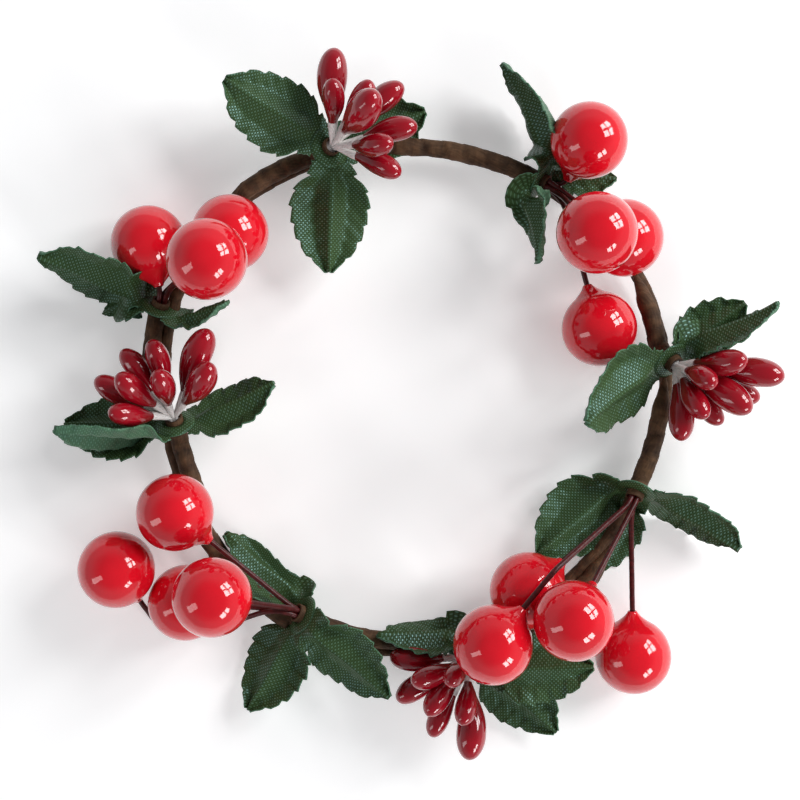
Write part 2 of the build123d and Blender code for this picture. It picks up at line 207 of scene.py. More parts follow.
# Relief of the cloth: share of the length where it is full, slant of the veins, how the crease
# fades, its grain, unevenness and place between midrib and edge, and depth and width of the midrib
relief_share = 0.25
vein_slant = 0.95
vein_onset = 3
crease_fade = 0.6
crease_grain, crease_uneven = 0.007, 0.5
peak_grain, peak_share, peak_sway = 0.012, 0.45, 0.12
rib_depth, rib_width = 0.00022, 0.0006

# Ripples of the cloth: grain and height of the large and the small ones, and the share at the midrib
large_ripple = (0.0055, 0.00075)
small_ripple = (0.0022, 0.00022)
ripple_share = 0.35

# How far leaves lie apart in their flat places and in the noise, and the two halves in the noise
flat_apart = (0.05, 0.02)
noise_apart = 0.03
ripple_apart = 0.05
crease_sides, peak_sides = 0.004, 0.002

# Where cloth would dip below the table it bends up instead, by this share of the dip
table_lift = 0.04

# Hub of a whorl: its rows and sides, height over the neck's middle, at its hole and of its lumps
hub_rows = 4
hub_sides = 36
hub_lift, hole_lift = 0.00006, 0.00035
hub_lumps = (0.002, 0.00012)

# Pips: place and share of the widest and of the foot, rings and how they crowd at the tip, bend
pip_widest_share = 0.60
pip_foot_share = 0.30
pip_round, pip_taper = 2.2, 1.15
pip_rings = 30
pip_crowding = 1.6
pip_sway = 0.04
pip_sides = 24
pip_lumps = (0.0025, 0.03)

# Paper stems: end under the pip, depth and place inside the neck, radius at the pip and its growth
paper_end = 0.0004
paper_depth, paper_share = 0.002, 0.4
paper_radius, paper_growth = 0.00065, 1.5
paper_spacing = 0.0002
paper_sides = 12
paper_lumps = (0.0006, 0.00005)

# Knot of paper stems in a neck: depth, spacing, sides, and its strands' number and relief
knot_depth = 0.0024
knot_spacing = 0.0003
knot_sides = 36
knot_strands, knot_relief = 9, 0.03

# Windows: name, middle, panes across and high, width and height of a pane, bar between, power
windows = [
    ("window_upper", (0.44, 0.26, 0.34), 2, 2, 0.15, 0.13, 0.04, 3.3),
    ("window_lower", (0.34, -0.38, 0.30), 2, 1, 0.11, 0.14, 0.03, 1.25),
    ("window_left", (-0.40, -0.20, 0.30), 1, 1, 0.12, 0.30, 0.0, 0.35),
]

# Sky: its colour, and its strength below and above two heights
sky_colour = (0.93, 0.96, 1.0, 1)
sky_low, sky_high = (0.30, 0.52), (0.85, 0.18)

# Floor: glow for the camera and for reflections, and the nearest distance that the camera shows
floor_glow = 0.30
nearest = 0.005


def metres(name, words, value):
    return FloatProperty(name=name, description=words, default=value, unit="LENGTH")


def colour(name, words, value):
    return FloatVectorProperty(name=name, description=words, default=value, subtype="COLOR", size=3,
                               min=0, max=1)


class RingSizes(PropertyGroup):
    radius: metres("Radius", "Middle line of the strand", 0.040)
    lobe: metres("Lobe", "How far the soft corners stand out", 0.00104)
    height: metres("Height", "Middle line above the table", 0.0036)
    lobe_angle: FloatProperty(name="Corner angle", description="Angle of one corner", default=20.0)
    core_diameter: metres("Core", "Steel wire", 0.0009)
    tape: metres("Tape", "Thickness of the wound tape", 0.00025)
    swell: metres("Swell", "Loose outer turns of tape", 0.0003)
    pitch: metres("Pitch", "Run of one turn of tape", 0.0042)
    overlap: metres("Overlap", "Step at a tape's edge", 0.00011)


class StemSizes(PropertyGroup):
    bore: metres("Bore", "Room for the wires", 0.00216)
    tape: metres("Tape", "Thickness of the tape", 0.0003)
    hold: metres("Hold", "Run along the ring", 0.018)
    tail: metres("Tail", "Length of the thin tail", 0.005)
    turn_radius: metres("Turn", "Bend into the neck", 0.004)


class BerrySizes(PropertyGroup):
    diameter: metres("Diameter", "Across a berry", 0.012)
    nipple: metres("Nipple", "Height of the pointed end", 0.0011)
    nipple_width: metres("Nipple width", "Across its end", 0.0015)
    bore_depth: metres("Bore", "Depth of the wire's hole", 0.003)
    wire: metres("Wire", "Diameter of the wire", 0.00085)
    wire_hold: metres("Wire hold", "Wire inside the tape", 0.004)
    turn_share: FloatProperty(name="Turn share", default=0.28,
                              description="Bend radius as a share of the gap")


class PipSizes(PropertyGroup):
    diameter: metres("Diameter", "Across a pip", 0.0043)
    length: metres("Length", "Length of a pip", 0.0097)
    stem_length: metres("Stem", "Paper stem", 0.0037)
    stem_foot: metres("Stem foot", "Thin end of the stem", 0.0006)
    knot_rise: metres("Knot", "Knot above the neck", -0.0006)


class LeafSizes(PropertyGroup):
    length: metres("Length", "Blade of a leaf", 0.0175)
    width: metres("Width", "Across a leaf", 0.0148)
    thickness: metres("Thickness", "Stiffened cloth", 0.00022)
    fold: FloatProperty(name="Fold", description="Rise of each half from the midrib", default=10.0)
    tooth_depth: metres("Tooth", "Depth of the cut teeth", 0.0007)
    tooth_pitch: metres("Tooth pitch", "Tooth to tooth", 0.0024)
    pleat_depth: metres("Pleat", "Depth of the veins", 0.00022)
    root_width: metres("Root", "Width at the hub", 0.0072)
    root_bend: metres("Root bend", "Bend out of the hub", 0.0022)
    hub_diameter: metres("Hub", "Middle of the whorl", 0.0064)
    hub_setback: metres("Setback", "Hub behind the neck's end", 0.0014)
    crease: metres("Crease", "Height of the pressed creases", 0.0011)
    thread: metres("Thread", "Thread to thread", 0.00033)


class WreathColours(PropertyGroup):
    berry: colour("Berry", "Lacquer of the berries", (0.76, 0.006, 0.018))
    pip: colour("Pip", "Dip of the pips", (0.33, 0.004, 0.013))
    leaf_dark: colour("Leaf dark", "Threads in shade", (0.019, 0.040, 0.011))
    leaf_light: colour("Leaf light", "Threads that catch the light", (0.090, 0.185, 0.080))
    leaf_olive: colour("Leaf olive", "Faded patches of the cloth", (0.050, 0.062, 0.020))
    leaf_back: colour("Leaf back", "Underside of the cloth", (0.110, 0.240, 0.140))
    leaf_sheen: colour("Leaf sheen", "Sheen of the threads", (0.55, 0.95, 1.0))
    # The tape's brown in shade and in light: painted shade in its folds, painted light on its raised fibres
    tape_brown_in_shade: colour("Tape dark", "Folds of the tape", (0.028, 0.013, 0.006))
    tape_brown_in_light: colour("Tape light", "Stretched fibres of the tape", (0.14, 0.072, 0.034))
    wire: colour("Wire", "Skin of the berry wires", (0.042, 0.004, 0.004))
    paper: colour("Paper", "Stems of the pips", (0.84, 0.81, 0.79))
    steel: colour("Steel", "Core wire", (0.35, 0.33, 0.31))
    floor: colour("Floor", "Table and backdrop", (0.88, 0.88, 0.88))


class StageSizes(PropertyGroup):
    camera_x: metres("Camera X", "Photograph's middle", -0.001709)
    camera_y: metres("Camera Y", "Photograph's middle", -0.000974)
    camera_height: metres("Camera height", "Above the table", 0.230)
    view_width: metres("View", "Width seen at the ring", 0.1278)
    floor_size: metres("Floor", "Side of the floor", 6.0)


class CandleRing(PropertyGroup):
    ring: PointerProperty(type=RingSizes)
    stem: PointerProperty(type=StemSizes)
    berry: PointerProperty(type=BerrySizes)
    pip: PointerProperty(type=PipSizes)
    leaf: PointerProperty(type=LeafSizes)
    colours: PointerProperty(type=WreathColours)
    stage: PointerProperty(type=StageSizes)


def sizes():
    return bpy.context.scene.candle_ring


def compass(angle):
    """Level unit vector at an angle from +X."""
    return Vector((cos(radians(angle)), sin(radians(angle)), 0))


def heading(angle, rise):
    """Unit vector at an angle from +X that climbs by a rise in degrees."""
    return compass(angle) * cos(radians(rise)) + up * sin(radians(rise))


def level_side(way):
    """Unit vector across a way, level unless the way is steep."""
    return way.cross(up if abs(way.z) < steep else compass(0)).normalized()


def across_way(vector, way):
    """Unit vector along the part of a vector that lies across a way."""
    return (vector - way * vector.dot(way)).normalized()


def wobble(point, grain, seed=0.0):
    """Smooth noise from -1 to 1 at a point, with lumps of the given grain."""
    return noise.noise(point / grain + Vector((seed, seed * 0.7, seed * 1.3)))


def lumpy(lumps, point, seed=0.0):
    """Noise at a point for a pair of grain and height."""
    grain, height = lumps
    return height * wobble(point, grain, seed)


def eased(share):
    """Share from 0 to 1 that starts and ends slowly."""
    return share * share * (3 - 2 * share)


def turns(sides):
    """Angles round a line, with the first one again at the end."""
    return [2 * pi * side / sides for side in range(sides + 1)]


def ring_point(angle, out=0.0, above=0.0):
    """Point on the strand's middle line, or parallel to it."""
    ring = sizes().ring
    corner_reach = ring.lobe / (1 - cos(radians(arc_half)))
    from_lobe = (angle - ring.lobe_angle + arc_half) % (4 * arc_half)
    at_corner = from_lobe <= 2 * arc_half
    arc_angle = angle - from_lobe + (arc_half if at_corner else 3 * arc_half)
    centre = compass(arc_angle) * (corner_reach if at_corner else -corner_reach)
    corner = ring.radius + ring.lobe - corner_reach
    side = ring.radius - ring.lobe + corner_reach
    return centre + compass(angle) * ((corner if at_corner else side) + out) + up * (ring.height + above)


def ring_run(start, end, out=0.0, above=0.0):
    """Points along the strand, clockwise from one angle to another."""
    count = max(2, ceil((start - end) / ring_step))
    return [ring_point(start + (end - start) * i / count, out, above) for i in range(count + 1)]


def arc_run(centre, inward, way, radius, turn, count):
    """Points of an arc that leaves its start along a way."""
    steps = [turn * i / count for i in range(1, count + 1)]
    return [centre + (way * sin(angle) - inward * cos(angle)) * radius for angle in steps]


class Stem:
    """Route of a spray's taped stem: along the strand, a turn, and the straight neck."""

    def __init__(self, place):
        kit = sizes()
        self.radius = kit.stem.bore / 2 + kit.stem.tape
        strand = kit.ring.core_diameter / 2 + 2 * clearance + kit.ring.tape
        offset = strand + self.radius
        self.mouth = place["mouth"]
        self.out = offset * cos(radians(place["side"]))
        self.above = offset * sin(radians(place["side"]))
        self.way = compass(self.mouth - 90)
        self.neck_way = heading(place["heading"], place["rise"])
        self.neck_run = place["neck_share"] * 2 * self.radius
        self.hold = place["hold_share"] * kit.stem.hold

    def angle_at(self, run):
        """Angle on the ring at a run before the stem's mouth."""
        return self.mouth + degrees(run / sizes().ring.radius)

    def route(self, hold=0.0, out=0.0, above=0.0):
        """Points from a given run on the strand to the neck's end."""
        radius = sizes().stem.turn_radius
        points = ring_run(self.angle_at(hold), self.mouth, self.out + out, self.above + above)
        turn = acos(self.way.dot(self.neck_way))
        axis = self.way.cross(self.neck_way).normalized()
        inward = axis.cross(self.way)
        offset = compass(self.mouth) * out + up * above
        centre = ring_point(self.mouth, self.out, self.above) + inward * radius + axis * offset.dot(axis)
        points += arc_run(centre, inward, self.way, radius - offset.dot(inward), turn, turn_steps)
        points.append(points[-1] + self.neck_way * self.neck_run)
        return points

    def neck(self):
        """Middle of the neck's open end, with its left and its upward ways."""
        left = up.cross(self.neck_way).normalized()
        return self.route()[-1], left, self.neck_way.cross(left)


def aim(start, way, target, turn_share):
    """Points of the arc that leaves a start along a way and ends pointing at a target, and the new way."""
    gap = target - start
    radius = gap.length * turn_share
    ahead = gap.dot(way)
    beside = gap - way * ahead
    inward = beside.normalized()
    short = radius - beside.length
    turn = asin(radius / hypot(ahead, short)) - atan2(short, ahead)
    points = arc_run(start + inward * radius, inward, way, radius, turn, bend_steps)
    return points, way * cos(turn) + inward * sin(turn)


def place_point(shares):
    """Point given as shares of the ring's radius across and of a berry's diameter in height."""
    across, along, high = shares
    kit = sizes()
    return Vector((across * kit.ring.radius, along * kit.ring.radius, high * kit.berry.diameter))


def bundle_place(index, count):
    """Where a wire lies in its stem: the wires touch one another round the middle."""
    reach = (sizes().berry.wire / 2 + clearance / 2) / sin(pi / count)
    turn = 2 * pi * index / count + pi / 4
    return reach * cos(turn), reach * sin(turn)


def evened(points, step):
    """The same line with points at an even spacing."""
    runs = [(b - a).length for a, b in zip(points, points[1:])]
    total = sum(runs)
    count = max(2, round(total / step))
    result, index, passed = [], 0, 0.0
    for i in range(count + 1):
        goal = total * i / count
        while index < len(runs) - 1 and passed + runs[index] < goal:
            passed += runs[index]
            index += 1
        result.append(points[index].lerp(points[index + 1], min(1.0, (goal - passed) / runs[index])))
    return result


def runs_along(points):
    """Length of a line from its start to each of its points."""
    return list(accumulate(((b - a).length for a, b in zip(points, points[1:])), initial=0.0))


def line_frames(points):
    """Tangent, side and normal at each point of a line, turned as little as possible."""
    last = len(points) - 1
    ways = [(points[min(i + 1, last)] - points[max(i - 1, 0)]).normalized() for i in range(last + 1)]
    side = level_side(ways[0])
    frames = []
    for i, way in enumerate(ways):
        if i:
            side = ways[i - 1].rotation_difference(way) @ side
        side = across_way(side, way)
        frames.append((way, side, way.cross(side)))
    return frames


def grid_faces(rows, flat, wrap, start=0):
    """Faces between rows of points numbered from a start, with the flat place of each corner."""
    wide = len(rows[0])
    faces, places = [], []
    for r in range(len(rows) - 1):
        here, above = start + r * wide, start + (r + 1) * wide
        for c in range(wide if wrap else wide - 1):
            beside = (c + 1) % wide
            faces.append((here + c, here + beside, above + beside, above + c))
            places.append((flat[r][c], flat[r][c + 1], flat[r + 1][c + 1], flat[r + 1][c]))
    return faces, places


def new_piece(name, points, faces, places, materials):
    """Smooth mesh object, with the flat place of each corner in metres as its UV."""
    mesh = bpy.data.meshes.new(name)
    mesh.from_pydata([tuple(point) for point in points], [], faces)
    layer = mesh.uv_layers.new(name="flat")
    for polygon, corners in zip(mesh.polygons, places):
        polygon.use_smooth = True
        for loop, corner in zip(polygon.loop_indices, corners):
            layer.data[loop].uv = corner
    for material in materials:
        mesh.materials.append(material)
    piece = bpy.data.objects.new(name, mesh)
    bpy.context.scene.collection.objects.link(piece)
    return piece


def closed_piece(name, rows, flat, material):
    """Piece from rings of points, closed at both ends."""
    faces, places = grid_faces(rows, flat, True)
    wide = len(rows[0])
    last = (len(rows) - 1) * wide
    faces += [tuple(reversed(range(wide))), tuple(range(last, last + wide))]
    places += [(flat[0][0],) * wide, (flat[-1][0],) * wide]
    piece = new_piece(name, [point for row in rows for point in row], faces, places, [material])
    piece.data.validate()
    return piece


def ring_rows(stations, sides, spot):
    """Rings of points and their flat places, both given by a function of station and turn."""
    rows, flat = [], []
    for station in stations:
        ring = [spot(station, turn) for turn in turns(sides)]
        rows.append([point for point, place in ring[:-1]])
        flat.append([place for point, place in ring])
    return rows, flat


def tube_rows(points, radius_at, sides):
    """Rings of points round a line, for a radius given by run, turn and place."""
    def spot(station, turn):
        point, run, (way, side, normal) = station
        spoke = side * cos(turn) + normal * sin(turn)
        radius = radius_at(run, turn, point + spoke * noise_reach)
        return point + spoke * radius, (run, radius * turn)
    return ring_rows(zip(points, runs_along(points), line_frames(points)), sides, spot)


def adopt(piece, slot_name, *nodes):
    """Makes a piece stand for CAD nodes and ride with the ring."""
    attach(piece, "root")
    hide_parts(*nodes)


class Nodes:
    """Short way to lay out a material's nodes."""

    def __init__(self, name):
        self.material = bpy.data.materials.new(name)
        self.material.use_nodes = True
        self.tree = self.material.node_tree
        self.shader = self.tree.nodes["Principled BSDF"]

    def add(self, kind, **values):
        node = self.tree.nodes.new(kind)
        for key, value in values.items():
            setattr(node, key, value)
        return node

    def link(self, source, target):
        self.tree.links.new(source, target)

    def feed(self, **sources):
        """Links values to the shader's sockets, whose names are written with underscores."""
        for key, source in sources.items():
            self.link(source, self.shader.inputs[key.replace("_", " ")])

    def set(self, **values):
        """Sets the shader's sockets to values that don't change over the surface."""
        for key, value in values.items():
            self.shader.inputs[key.replace("_", " ")].default_value = value

    def math(self, operation, *values):
        node = self.add("ShaderNodeMath", operation=operation)
        for socket, value in zip(node.inputs, values):
            if isinstance(value, (int, float)):
                socket.default_value = value
            else:
                self.link(value, socket)
        return node.outputs[0]

    def scaled(self, value, by, plus=0.0):
        return self.math("MULTIPLY_ADD", value, by, plus)

    def noise(self, place, scale=1.0, detail=3.0, rough=0.5):
        node = self.add("ShaderNodeTexNoise")
        self.link(place, node.inputs["Vector"])
        for key, value in (("Scale", scale), ("Detail", detail), ("Roughness", rough)):
            node.inputs[key].default_value = value
        return node.outputs["Fac"]

    def stretched(self, place, scales, turn=0.0):
        node = self.add("ShaderNodeMapping")
        self.link(place, node.inputs["Vector"])
        node.inputs["Scale"].default_value = scales
        node.inputs["Rotation"].default_value = (0, 0, turn)
        return node.outputs["Vector"]

    def split(self, place):
        node = self.add("ShaderNodeSeparateXYZ")
        self.link(place, node.inputs[0])
        return node.outputs

    def ramp(self, value, stops):
        node = self.add("ShaderNodeValToRGB")
        for element, (place, tint) in zip(node.color_ramp.elements, stops[:2]):
            element.position, element.color = place, (*tint, 1)
        for place, tint in stops[2:]:
            node.color_ramp.elements.new(place).color = (*tint, 1)
        self.link(value, node.inputs["Fac"])
        return node.outputs["Color"]

    def mix(self, share, first, second):
        """Colour with a share of a second, fixed colour mixed in."""
        node = self.add("ShaderNodeMix", data_type="RGBA")
        sockets = {socket.identifier: socket for socket in (*node.inputs, *node.outputs)}
        self.link(share, sockets["Factor_Float"])
        self.link(first, sockets["A_Color"])
        sockets["B_Color"].default_value = (*second, 1)
        return sockets["Result_Color"]

    def bump(self, height, distance, strength):
        node = self.add("ShaderNodeBump")
        node.inputs["Distance"].default_value = distance
        node.inputs["Strength"].default_value = strength
        self.link(height, node.inputs["Height"])
        self.feed(Normal=node.outputs["Normal"])
        return node.outputs["Normal"]


def flat_place(nodes):
    return nodes.add("ShaderNodeUVMap", uv_map="flat").outputs["UV"]


def solid_place(nodes):
    return nodes.add("ShaderNodeTexCoord").outputs["Object"]


def shaded(tint, share):
    """A colour made deeper or paler by a share."""
    return tuple(min(1.0, channel * share) for channel in tint)


def lacquer(name, tint, deep_share, roughness, foot_shade):
    """Thick glossy lacquer in random deeper patches, with painted shade towards the foot and a faint
    orange-peel.
    """
    nodes = Nodes(name)
    place = solid_place(nodes)
    run = nodes.split(flat_place(nodes))["X"]
    # Darker towards the foot as the run from it shrinks, over random deeper patches: painted shade at the
    # foot.
    mottle_and_foot_shade = nodes.scaled(run, by=foot_shade, plus=nodes.noise(place, scale=130, detail=2))
    depth = nodes.ramp(mottle_and_foot_shade, [(0.34, shaded(tint, deep_share)), (0.66 + foot_shade * 0.003, tint)])
    rough = nodes.scaled(nodes.noise(place, scale=420), by=0.10, plus=roughness - 0.03)
    swell = nodes.noise(place, scale=230, detail=1)
    peel = nodes.scaled(nodes.noise(place, scale=900, detail=2), by=0.12, plus=swell)
    normal = nodes.bump(peel, distance=0.0003, strength=0.5)
    nodes.feed(Base_Color=depth, Roughness=rough, Coat_Normal=normal)
    nodes.set(Coat_Weight=1.0, Coat_Roughness=0.03, Coat_IOR=1.55, IOR=1.45, Specular_IOR_Level=0.1)
    return nodes.material


def crepe_tape(name, dark, light):
    """Waxed crepe paper: fine wrinkles across the strip, painted shade in the folds, painted light on
    stretched fibres.
    """
    nodes = Nodes(name)
    place = flat_place(nodes)
    wrinkles = nodes.noise(nodes.stretched(place, (900, 320, 1), turn=0.5), detail=4, rough=0.55)
    fibres = nodes.noise(nodes.stretched(place, (500, 2600, 1), turn=-0.35), rough=0.55)
    patches = nodes.noise(solid_place(nodes), scale=210)
    # Painted light and shade: paler where wrinkles and fibres stand up in the bump, darker in the folds,
    # with random patches.
    fine = nodes.scaled(wrinkles, by=0.55, plus=nodes.scaled(fibres, by=0.45))
    tone = nodes.scaled(patches, by=0.45, plus=nodes.scaled(fine, by=0.62))
    middle = tuple((a + b) / 2.4 for a, b in zip(dark, light))
    height = nodes.scaled(wrinkles, by=0.6, plus=nodes.scaled(fibres, by=0.4))
    nodes.bump(height, distance=0.0003, strength=0.8)
    nodes.feed(Base_Color=nodes.ramp(tone, [(0.40, dark), (0.52, middle), (0.66, light)]),
               Roughness=nodes.scaled(fibres, by=-0.25, plus=0.82))
    nodes.set(Specular_IOR_Level=0.25)
    return nodes.material


def leaf_cloth(name, dark, light, gloss, sheen, olive_share):
    """Plain-woven polyester: threads over and under, faded patches, a cool sheen on the crowns."""
    kit = sizes()
    thread = kit.leaf.thread
    nodes = Nodes(name)
    place = flat_place(nodes)
    parts = nodes.split(place)
    drift = nodes.scaled(nodes.noise(place, scale=260, detail=2), by=thread * 0.7)
    waves = [nodes.math("SINE", nodes.math("MULTIPLY", nodes.math("ADD", parts[key], drift), pi / thread))
             for key in ("X", "Y")]
    over = nodes.math("MULTIPLY", *waves)
    ribs, crossing = [nodes.math("ABSOLUTE", wave) for wave in waves]
    warp_on_top = nodes.math("GREATER_THAN", over, 0.0)
    weft = nodes.math("MULTIPLY", crossing, nodes.math("SUBTRACT", 1.0, warp_on_top))
    crown = nodes.math("ADD", nodes.math("MULTIPLY", ribs, warp_on_top), weft)
    dot = nodes.add("ShaderNodeMapRange", interpolation_type="SMOOTHSTEP")
    nodes.link(over, dot.inputs["Value"])
    dot.inputs["From Min"].default_value = 0.1
    dot.inputs["From Max"].default_value = 0.85
    dot = dot.outputs["Result"]
    # Painted light and shade of the weave: raised threads take the light colour, the gaps between them the
    # dark one.
    shown = nodes.math("MULTIPLY", dot, nodes.scaled(nodes.noise(place, scale=170), by=0.9))
    tone = nodes.scaled(shown, by=0.80, plus=nodes.scaled(ribs, by=0.24, plus=nodes.scaled(crown, by=0.14)))
    olive = nodes.scaled(nodes.noise(place, scale=60, detail=2), by=olive_share)
    tint = nodes.mix(olive, nodes.ramp(tone, [(0.05, dark), (0.80, light)]), kit.colours.leaf_olive)
    height = nodes.scaled(over, by=0.35, plus=nodes.scaled(crown, by=0.65))
    nodes.bump(height, distance=0.0001, strength=0.30)
    nodes.feed(Base_Color=tint, Roughness=nodes.scaled(crown, by=-0.06, plus=gloss),
               Specular_IOR_Level=nodes.scaled(dot, by=sheen, plus=0.12))
    nodes.set(IOR=1.55, Specular_Tint=(*kit.colours.leaf_sheen, 1))
    return nodes.material


def twisted_paper(name, tint):
    """Off-white twisted paper with soft spiral creases."""
    nodes = Nodes(name)
    creases = nodes.noise(nodes.stretched(flat_place(nodes), (1500, 4500, 1), turn=0.7))
    nodes.bump(creases, distance=0.0001, strength=0.7)
    # Darker where the same noise sinks into the creases: painted shade in the creases.
    nodes.feed(Base_Color=nodes.ramp(creases, [(0.35, shaded(tint, 0.72)), (0.58, tint)]))
    nodes.set(Roughness=0.62)
    return nodes.material


def wire_skin(name, tint):
    """Dark paper skin wound on thin wire, faintly glossy."""
    nodes = Nodes(name)
    turned = nodes.noise(nodes.stretched(flat_place(nodes), (2200, 600, 1), turn=0.9))
    nodes.bump(turned, distance=0.00006, strength=0.5)
    # Paler where the same noise raises the wound skin: painted light on the raised turns.
    nodes.feed(Base_Color=nodes.ramp(turned, [(0.38, tint), (0.72, shaded(tint, 2.4))]))
    nodes.set(Roughness=0.34, Specular_IOR_Level=0.3)
    return nodes.material


def drawn_steel(name, tint):
    """Annealed wire with drawing marks along it."""
    nodes = Nodes(name)
    marks = nodes.noise(nodes.stretched(solid_place(nodes), (900, 900, 5000)))
    nodes.bump(marks, distance=0.00002, strength=0.4)
    # Darker where the drawing marks sink in the bump: painted shade in their grooves.
    nodes.feed(Base_Color=nodes.ramp(marks, [(0.35, shaded(tint, 0.5)), (0.65, tint)]))
    nodes.set(Metallic=1.0, Roughness=0.42)
    return nodes.material


def wound_radius(base, pitch, hand):
    """Radius of wound tape: a step at each turn's edge, wrinkles, and the unevenness of hand winding."""
    step = sizes().ring.overlap

    def radius_at(run, turn, place):
        strip = (run / pitch * hand + turn / (2 * pi)) % 1.0
        edge = step * (strip if strip < edge_share else (1 - strip) / (1 - edge_share))
        lumps = lumpy(large_lumps, place) + lumpy(small_lumps, place, seed=3.0)
        return base * (1 + lumps) + edge
    return radius_at


class WREATH_OT_ring(Operator):
    """Ring of steel wire wound with crepe paper tape"""
    bl_idname = "wreath.ring"
    bl_label = "Ring strand"

    def execute(self, context):
        kit = sizes()
        tape = crepe_tape("crepe_tape_ring", kit.colours.tape_brown_in_shade, kit.colours.tape_brown_in_light)
        strand = kit.ring.core_diameter / 2 + kit.ring.tape + kit.ring.swell
        radius_at = wound_radius(strand, kit.ring.pitch, 1)
        for name, start, end in tape_seams:
            points = evened(ring_run(start + seam_margin, end - seam_margin), strand_spacing)
            bent = [point + self.bend(point) for point in points]
            rows, flat = tube_rows(bent, radius_at, strand_sides)
            piece = closed_piece(f"ring_tape_{name}_wound", rows, flat, tape)
            adopt(piece, "paper_tape", f"ring_tape_{name}")
        rows, flat = self.splice_rows(radius_at)
        piece = closed_piece("ring_tape_splice_wound", rows, flat, tape)
        adopt(piece, "paper_tape", "ring_tape_splice")
        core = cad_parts["ring_core_wire"]
        core.data.materials.clear()
        core.data.materials.append(drawn_steel("drawn_steel", kit.colours.steel))
        return {"FINISHED"}

    def bend(self, point):
        """Slow bends of the strand from side to side."""
        sway = [wobble(point, strand_bend_grain, seed) for seed in (1.0, 5.0)]
        return Vector((*sway, 0)) * strand_bend

    def splice_rows(self, radius_at):
        """Rings of points of the flat sleeve round both ends of the core wire."""
        shift = sizes().ring.core_diameter / 2 + clearance
        points = ring_run(splice_start_angle + splice_margin, splice_end_angle - splice_margin, shift)
        points = evened(points, strand_spacing)

        def spot(station, turn):
            point, run = station
            away = Vector((point.x, point.y, 0)).normalized()
            spoke = away * cos(turn) + up * sin(turn)
            radius = radius_at(run, turn, point + spoke * noise_reach)
            aside = away * (shift if cos(turn) >= 0 else -shift)
            return point + spoke * radius + aside, (run, radius * turn)
        return ring_rows(zip(points, runs_along(points)), splice_sides, spot)


class WREATH_OT_stems(Operator):
    """Taped stems of the sprays, each with a thin tail and an open neck"""
    bl_idname = "wreath.stems"
    bl_label = "Taped stems"

    def execute(self, context):
        kit = sizes()
        tape = crepe_tape("crepe_tape_stems", kit.colours.tape_brown_in_shade, kit.colours.tape_brown_in_light)
        for index, (name, place) in enumerate(sprays.items()):
            stem = Stem(place)
            points = evened(self.tail(stem) + stem.route(stem.hold), stem_spacing)
            rows, flat = tube_rows(points, self.radius(stem), stem_sides)
            inside = self.neck_rows(points[-1], line_frames(points)[-1], flat[-1][0][0], index)
            piece = closed_piece(f"stem_tape_{name}_wound", rows + inside[0], flat + inside[1], tape)
            adopt(piece, "paper_tape", f"stem_tape_{name}")
        return {"FINISHED"}

    def radius(self, stem):
        """Radius of a stem's tape, which grows from the tail's thin end."""
        kit = sizes()
        wound = wound_radius(stem.radius, kit.ring.pitch * stem_pitch_share, -1)

        def radius_at(run, turn, place):
            grown = min(1.0, tail_end_share + (1 - tail_end_share) * run / kit.stem.tail)
            return wound(run, turn, place) * grown
        return radius_at

    def tail(self, stem):
        """Points of the thin tail, from the strand's surface to the stem."""
        start = stem.angle_at(stem.hold + sizes().stem.tail)
        reach = stem.angle_at(stem.hold) - start
        settle = (stem.radius - tail_settle) / hypot(stem.out, stem.above)
        points = []
        for i in range(tail_steps):
            share = i / tail_steps
            drop = 1 - settle * (1 - share)
            points.append(ring_point(start + reach * share, stem.out * drop, stem.above * drop))
        return points

    def neck_rows(self, end, axes, run, index):
        """Rings of points of the neck's inside, whose mouth is a little ragged."""
        way, side, normal = axes

        def spot(ring, turn):
            depth, share = ring
            radius = sizes().stem.bore / 2 * share
            ragged = 1 + ragged_share * wobble(Vector((cos(turn), sin(turn), index)), ragged_grain)
            spoke = side * cos(turn) + normal * sin(turn)
            return end - way * depth + spoke * radius * ragged, (run + depth + stem_spacing, radius * turn)
        return ring_rows(neck_rings, stem_sides, spot)


